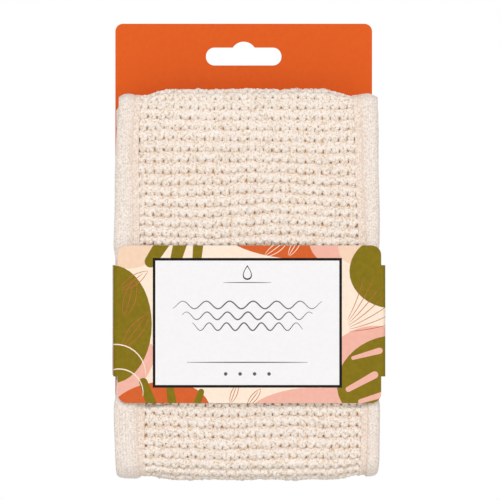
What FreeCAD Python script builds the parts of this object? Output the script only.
"""Back scrubber strap, folded in three, in its printed sleeve on a hang card.

Frame: millimetres, +Z up, the front of the pack faces -Y, +X is to the right.
The origin is the centre of the card's hang slot, on the back face of the card.

The strap is one long sandwich of knit, foam and terry lining. Its middle third is the front of
the pack. The upper third folds over the top and down behind it, with the lining inside, and the
lower third folds up behind both. A point of the strap is given by x and by n, the height above
the lining's face, so that n runs from 0 at the lining to layer_t at the knit's face.
"""

import os

import FreeCAD, Part
from FreeCAD import Vector

# --- hang card -----------------------------------------------------------------------------
card_w = 108.0
card_h = 178.0
card_t = 0.5
card_corner_r = 3.2
card_over_slot = 13.8        # from the slot's centre up to the card's top edge
slot_w = 31.75
slot_h = 7.5
slot_end_r = 3.6
hump_r = 5.5                 # the round hump in the slot's upper edge, where the peg sits
hump_rise = 2.5

# --- strap ---------------------------------------------------------------------------------
strap_w = 110.0
folded_h = 165.0             # from the top fold's crown to the bottom fold's crown
knit_t = 2.4
foam_t = 1.2
lining_t = 1.6
binding_w = 9.5              # how far a side tape reaches over the strap's face
binding_wall = 0.8           # thickness of the tape
binding_edge_r = 1.5
end_binding_w = 10.0
edge_drop = 1.2              # the bound edge is squeezed, so its tape lies this much below the knit
edge_rise = 0.2              # and this much above the lining's face
rim_lining_t = 0.5           # thickness of each squeezed layer inside the tape
rim_foam_t = 0.7

# --- handles -------------------------------------------------------------------------------
webbing_w = 22.0
webbing_t = 1.4
handle_inset = 5.0           # from the strap's side to the webbing's side
handle_len = 96.0            # from the strap's end to the far side of the loop
handle_outer_r = 26.0
handle_inner_r = 6.0
tail_len = 24.0              # the sewn tail of the webbing on the lining
turn_r = 0.3                 # inner radius where the webbing turns back over its tail

# --- stitching -----------------------------------------------------------------------------
thread_w = 0.5
thread_t = 0.2
seam_inset = 2.8             # from the tape's inner edge to its seam
box_stitch_w = 16.0
box_stitch_margin = 1.2

# --- printed sleeve --------------------------------------------------------------------------
sleeve_t = 0.35
sleeve_fold_r = 1.5          # inner radius of the four upright folds
panel_h = 65.4
panel_corner_r = 4.0
panel_drop = 112.2           # from the slot's centre down to the middle of the front panel
wing_h = 46.2
wing_drop = 110.8            # from the slot's centre down to the middle of the wings
flap_len = 38.0              # how far each wing reaches over the card's back
glue_t = 0.15
glue_w = 26.0
glue_h = 32.0
glue_inset = 3.0             # from a flap's inner edge to its glue

# --- clearances ------------------------------------------------------------------------------
slot_to_strap = 13.3         # from the slot's centre down to the top fold's crown
handle_clear = 0.3           # between a folded handle and the layer it faces
card_clear = 0.6             # between the strap and the card
sleeve_clear = 0.3           # between the knit's face and the sleeve's front panel
sleeve_side_clear = 1.2      # between the strap's sides and the sleeve's wings
end_over_fold = 6.0          # from the bottom fold's centre up to the inner flap's end
end_under_crown = 8.0        # from the top fold's crown down to the outer flap's end

# --- worked out from the sizes above -----------------------------------------------------------
layer_t = knit_t + foam_t + lining_t
half_w = strap_w / 2
main_x = half_w - binding_w
rim_x = half_w - binding_wall
handle_stack = 2 * webbing_t + 2 * turn_r
layer_gap = handle_stack + handle_clear
tape_lo = edge_rise
tape_hi = layer_t - edge_drop
rim_lo = tape_lo + binding_wall
rim_hi = tape_hi - binding_wall

# Planes of the lining's face in the three layers, from back to front.
outer_y = -card_t - card_clear - layer_t
inner_y = outer_y - layer_gap - layer_t
front_y = inner_y - layer_gap
strap_front_y = front_y - layer_t

top_r = (inner_y - front_y) / 2
bottom_r = (outer_y - front_y) / 2
top_crown_z = -slot_to_strap
bottom_crown_z = top_crown_z - folded_h
top_z = top_crown_z - layer_t - top_r
bottom_z = bottom_crown_z + layer_t + bottom_r
inner_end_z = bottom_z + end_over_fold
outer_end_z = top_crown_z - end_under_crown


class Layer:
    """One straight layer of the strap: where n = 0 lies, and which way n grows."""

    def __init__(self, lining_y, outward):
        self.lining_y = lining_y
        self.outward = outward

    def point(self, x, n, z):
        return Vector(x, self.lining_y + self.outward * n, z)

    def prism(self, outline, z_from, z_to):
        """A section in x and n, drawn out from one height to another."""
        face = outline(lambda x, n: self.point(x, n, z_from))
        return face.extrude(Vector(0, 0, z_to - z_from))

    def block(self, x_range, n_range, z_range):
        """A block between two values of x, of n and of z."""
        return self.prism(strip(x_range, n_range), z_range[0], z_range[1])


inner_layer = Layer(inner_y, 1)
front_layer = Layer(front_y, -1)
outer_layer = Layer(outer_y, 1)


# --- sections of the strap ---------------------------------------------------------------------
def polygon(corners):
    """A section with straight sides. It is given the function that places a point."""
    def outline(place):
        points = [place(x, n) for x, n in corners]
        return Part.Face(Part.makePolygon(points + points[:1]))
    return outline


def stepped(main, rim):
    """A layer's section: thick across the middle and squeezed under both side tapes."""
    return polygon([(-rim_x, rim[0]), (-main_x, rim[0]), (-main_x, main[0]), (main_x, main[0]),
                    (main_x, rim[0]), (rim_x, rim[0]), (rim_x, rim[1]), (main_x, rim[1]),
                    (main_x, main[1]), (-main_x, main[1]), (-main_x, rim[1]), (-rim_x, rim[1])])


def tape_section(side):
    """The side tape: a U that holds the squeezed edge, round on its outside."""
    def outline(place):
        def arc(x_mid, n_mid, n_turn, first, last):
            middle = place(side * (x_mid + binding_edge_r * 0.5 ** 0.5),
                           n_mid + n_turn * binding_edge_r * 0.5 ** 0.5)
            return Part.Arc(first, middle, last).toShape()

        x_mid = half_w - binding_edge_r
        points = [place(side * x, n) for x, n in [
            (main_x, tape_lo), (x_mid, tape_lo),
            (half_w, tape_lo + binding_edge_r), (half_w, tape_hi - binding_edge_r),
            (x_mid, tape_hi), (main_x, tape_hi), (main_x, rim_hi), (rim_x, rim_hi),
            (rim_x, rim_lo), (main_x, rim_lo)]]
        edges = []
        for i, start in enumerate(points):
            end = points[(i + 1) % len(points)]
            if i == 1:
                edges.append(arc(x_mid, tape_lo + binding_edge_r, -1, start, end))
            elif i == 3:
                edges.append(arc(x_mid, tape_hi - binding_edge_r, 1, start, end))
            else:
                edges.append(Part.LineSegment(start, end).toShape())
        return Part.Face(Part.Wire(edges))
    return outline


def strip(x_range, n_range):
    return polygon([(x_range[0], n_range[0]), (x_range[1], n_range[0]),
                    (x_range[1], n_range[1]), (x_range[0], n_range[1])])


def along_fold(outline):
    """A section drawn along the strap, from one end binding over both folds to the other."""
    def turn(z, radius, degrees):
        face = outline(lambda x, n: front_layer.point(x, n, z))
        return face.revolve(Vector(0, front_y + radius, z), Vector(1, 0, 0), degrees)

    pieces = [
        inner_layer.prism(outline, inner_end_z + end_binding_w, top_z),
        turn(top_z, top_r, -180),
        front_layer.prism(outline, top_z, bottom_z),
        turn(bottom_z, bottom_r, 180),
        outer_layer.prism(outline, bottom_z, outer_end_z - end_binding_w),
    ]
    return fused(pieces)


def fused(pieces):
    return pieces[0].multiFuse(pieces[1:]).removeSplitter()


def strap_ends():
    """Each end of the strap: its layer, where it ends, and the way along the strap from there."""
    return {"inner": (inner_layer, inner_end_z, 1), "outer": (outer_layer, outer_end_z, -1)}


# --- parts of the strap ------------------------------------------------------------------------
def panel(main, rim):
    """A full layer of the strap, squeezed at its sides and at both ends."""
    pieces = [along_fold(stepped(main, rim))]
    for layer, end_z, way in strap_ends().values():
        pieces.append(layer.block((-rim_x, rim_x), rim,
                                  (end_z + way * binding_wall, end_z + way * end_binding_w)))
    return fused(pieces)


def scrub_knit():
    return panel((layer_t - knit_t, layer_t), (rim_lo + rim_lining_t + rim_foam_t, rim_hi))


def foam_core():
    rim = (rim_lo + rim_lining_t, rim_lo + rim_lining_t + rim_foam_t)
    return panel((lining_t, lining_t + foam_t), rim)


def terry_lining():
    return panel((0, lining_t), (rim_lo, rim_lo + rim_lining_t))


def edge_binding(side):
    return along_fold(tape_section(side))


def end_binding(name):
    """A tape folded over the strap's end, closed at both corners."""
    layer, end_z, way = strap_ends()[name]
    cap = layer.block((-half_w, half_w), (tape_lo, tape_hi), (end_z, end_z + way * end_binding_w))
    open_z = end_z + way * end_binding_w
    cap = cap.makeFillet(binding_edge_r, [edge for edge in cap.Edges if not lies_at(edge, open_z)])
    pocket = layer.block((-rim_x, rim_x), (rim_lo, rim_hi),
                         (end_z + way * binding_wall, end_z + way * (end_binding_w + 1)))
    return cap.cut(pocket)


def lies_at(edge, z):
    """Whether an edge lies wholly in the level plane at that height."""
    return abs(edge.BoundBox.ZMin - z) < 1e-6 and abs(edge.BoundBox.ZMax - z) < 1e-6


def side_seam(side):
    """The seam of a side tape: one row of thread on the knit's side and one on the lining's."""
    near = main_x + seam_inset
    rows = [(tape_hi, tape_hi + thread_t), (tape_lo - thread_t, tape_lo)]
    return Part.makeCompound([
        along_fold(strip(sorted((side * near, side * (near + thread_w))), n_range))
        for n_range in rows])


def end_seam(name):
    layer, end_z, way = strap_ends()[name]
    far = end_z + way * (end_binding_w - seam_inset)
    z_range = (far - way * thread_w, far)
    rows = [(tape_hi, tape_hi + thread_t), (tape_lo - thread_t, tape_lo)]
    return Part.makeCompound([layer.block((-main_x, main_x), n_range, z_range)
                              for n_range in rows])


def handle(name):
    """A webbing loop sewn on the lining at its two tails, and folded back flat over them."""
    layer, end_z, way = strap_ends()[name]
    out_x = half_w - handle_inset
    in_x = out_x - webbing_w
    loop_n = -2 * webbing_t - 2 * turn_r
    far_z = end_z + way * handle_len
    bight_z = far_z - way * webbing_w

    outside = rounded_strip(layer, out_x, end_z, far_z, loop_n, handle_outer_r)
    inside = rounded_strip(layer, in_x, end_z - way, bight_z, loop_n, handle_inner_r)
    pieces = [outside.cut(inside)]
    for side in (-1, 1):
        x_range = sorted((side * in_x, side * out_x))
        pieces.append(layer.block(x_range, (-webbing_t, 0), (end_z, end_z + way * tail_len)))
        section = strip(x_range, (-webbing_t, 0))(lambda x, n: layer.point(x, n, end_z))
        centre = layer.point(0, -webbing_t - turn_r, end_z)
        pieces.append(section.revolve(centre, Vector(1, 0, 0), way * 180 * layer.outward))
    return fused(pieces)


def rounded_strip(layer, half, z_near, z_far, n, radius):
    """A flat strip of webbing thickness, 2 * half wide, with both far corners rounded."""
    block = layer.block((-half, half), (n, n + webbing_t), (z_near, z_far))
    corners = [edge for edge in block.Edges
               if lies_at(edge, z_far) and edge.BoundBox.XLength < 1e-6]
    return block.makeFillet(radius, corners)


def handle_stitches(name):
    """A crossed square of thread on both faces of each sewn tail."""
    layer, end_z, way = strap_ends()[name]
    x_mid = half_w - handle_inset - webbing_w / 2
    s_range = (end_binding_w + box_stitch_margin, tail_len - box_stitch_margin)
    faces = [(layer_t, layer_t + thread_t), (-webbing_t - thread_t, -webbing_t)]
    squares = []
    for side in (-1, 1):
        for n_range in faces:
            squares.append(crossed_square(layer, end_z, way, side * x_mid, s_range, n_range))
    return Part.makeCompound(squares)


def crossed_square(layer, end_z, way, x_mid, s_range, n_range):
    half = box_stitch_w / 2
    low, high = s_range

    def bar(start, end):
        """A row of thread between two points, each given by x and the distance along."""
        along = Vector(end[0] - start[0], end[1] - start[1], 0)
        aside = Vector(-along.y, along.x, 0).normalize() * (thread_w / 2)
        ahead = Vector(along).normalize() * (thread_w / 2)
        corners = [Vector(*start, 0) - ahead + aside, Vector(*start, 0) - ahead - aside,
                   Vector(*end, 0) + ahead - aside, Vector(*end, 0) + ahead + aside]
        points = [layer.point(x_mid + c.x, n_range[0], end_z + way * c.y) for c in corners]
        lift = Vector(0, layer.outward * (n_range[1] - n_range[0]), 0)
        return Part.Face(Part.makePolygon(points + points[:1])).extrude(lift)

    ring = [(-half, low), (half, low), (half, high), (-half, high)]
    bars = [bar(ring[i], ring[(i + 1) % 4]) for i in range(4)]
    bars += [bar(ring[0], ring[2]), bar(ring[1], ring[3])]
    return fused(bars)


# --- parts of the pack -------------------------------------------------------------------------
def upright_plate(half, z_low, z_high, y_front, thickness, radius):
    """A plate that faces the front, with its four corners rounded."""
    plate = Part.makeBox(2 * half, thickness, z_high - z_low, Vector(-half, y_front, z_low))
    corners = [edge for edge in plate.Edges
               if edge.BoundBox.XLength < 1e-6 and edge.BoundBox.ZLength < 1e-6]
    return plate.makeFillet(radius, corners)


def hang_card():
    card = upright_plate(card_w / 2, card_over_slot - card_h, card_over_slot, -card_t, card_t,
                         card_corner_r)
    slot = upright_plate(slot_w / 2, -slot_h / 2, slot_h / 2, -2 * card_t, 3 * card_t,
                         slot_end_r)
    hump_z = slot_h / 2 + hump_rise - hump_r
    hump = Part.makeCylinder(hump_r, 3 * card_t, Vector(0, -2 * card_t, hump_z), Vector(0, 1, 0))
    above = Part.makeBox(4 * hump_r, 5 * card_t, 2 * hump_r, Vector(-2 * hump_r, -3 * card_t, 0))
    return card.cut(fused([slot, hump.common(above)]))


def belly_band():
    """The printed sleeve: a front panel, two wings round the strap and card, and two flaps."""
    in_x = half_w + sleeve_side_clear
    in_front = strap_front_y - sleeve_clear
    in_back = glue_t
    outside = rounded_outline(in_x, in_front, in_back, sleeve_t)
    inside = rounded_outline(in_x, in_front, in_back, 0)
    wings = outside.cut(inside).extrude(Vector(0, 0, wing_h))
    wings.translate(Vector(0, 0, -wing_drop - wing_h / 2))
    gap_half = in_x - flap_len
    gap = Part.makeBox(2 * gap_half, 4 * sleeve_t, 2 * wing_h,
                       Vector(-gap_half, in_back - sleeve_t, -wing_drop - wing_h))
    front = upright_plate(in_x - sleeve_fold_r, -panel_drop - panel_h / 2,
                          -panel_drop + panel_h / 2, in_front - sleeve_t, sleeve_t,
                          panel_corner_r)
    return fused([wings.cut(gap), front])


def rounded_outline(in_x, in_front, in_back, grow):
    """The sleeve's outline from above, grown outward by a distance."""
    radius = sleeve_fold_r + grow
    x, front, back = in_x + grow, in_front - grow, in_back + grow
    mids = [(x - radius, front + radius, -45), (x - radius, back - radius, 45),
            (radius - x, back - radius, 135), (radius - x, front + radius, 225)]
    arcs = []
    for cx, cy, middle in mids:
        points = []
        for angle in (middle - 45, middle, middle + 45):
            turned = FreeCAD.Rotation(Vector(0, 0, 1), angle).multVec(Vector(radius, 0, 0))
            points.append(Vector(cx, cy, 0) + turned)
        arcs.append(points)
    edges = []
    for i, points in enumerate(arcs):
        edges.append(Part.Arc(*points).toShape())
        edges.append(Part.LineSegment(points[2], arcs[(i + 1) % 4][0]).toShape())
    return Part.Face(Part.Wire(edges))


def band_glue():
    """One thin pad of glue between each flap and the card's back."""
    x_mid = half_w + sleeve_side_clear - flap_len + glue_inset + glue_w / 2
    return Part.makeCompound([
        Part.makeBox(glue_w, glue_t, glue_h,
                     Vector(side * x_mid - glue_w / 2, 0, -wing_drop - glue_h / 2))
        for side in (-1, 1)])


def main():
    os.makedirs("parts", exist_ok=True)
    nodes = {
        "hang_card": hang_card(),
        "belly_band": belly_band(),
        "band_glue": band_glue(),
        "scrub_knit": scrub_knit(),
        "foam_core": foam_core(),
        "terry_lining": terry_lining(),
        "edge_binding_left": edge_binding(-1),
        "edge_binding_right": edge_binding(1),
        "side_seam_left": side_seam(-1),
        "side_seam_right": side_seam(1),
    }
    for name in strap_ends():
        nodes["end_binding_" + name] = end_binding(name)
        nodes["end_seam_" + name] = end_seam(name)
        nodes["handle_" + name] = handle(name)
        nodes["handle_stitches_" + name] = handle_stitches(name)
    for name, shape in nodes.items():
        if not shape.isValid() or not shape.Solids:
            raise ValueError(name + " is not a valid solid")
        print(name, len(shape.Solids), "solid(s),", round(shape.Volume, 1), "mm3")
        shape.exportStep(os.path.join("parts", name + ".step"))


main()
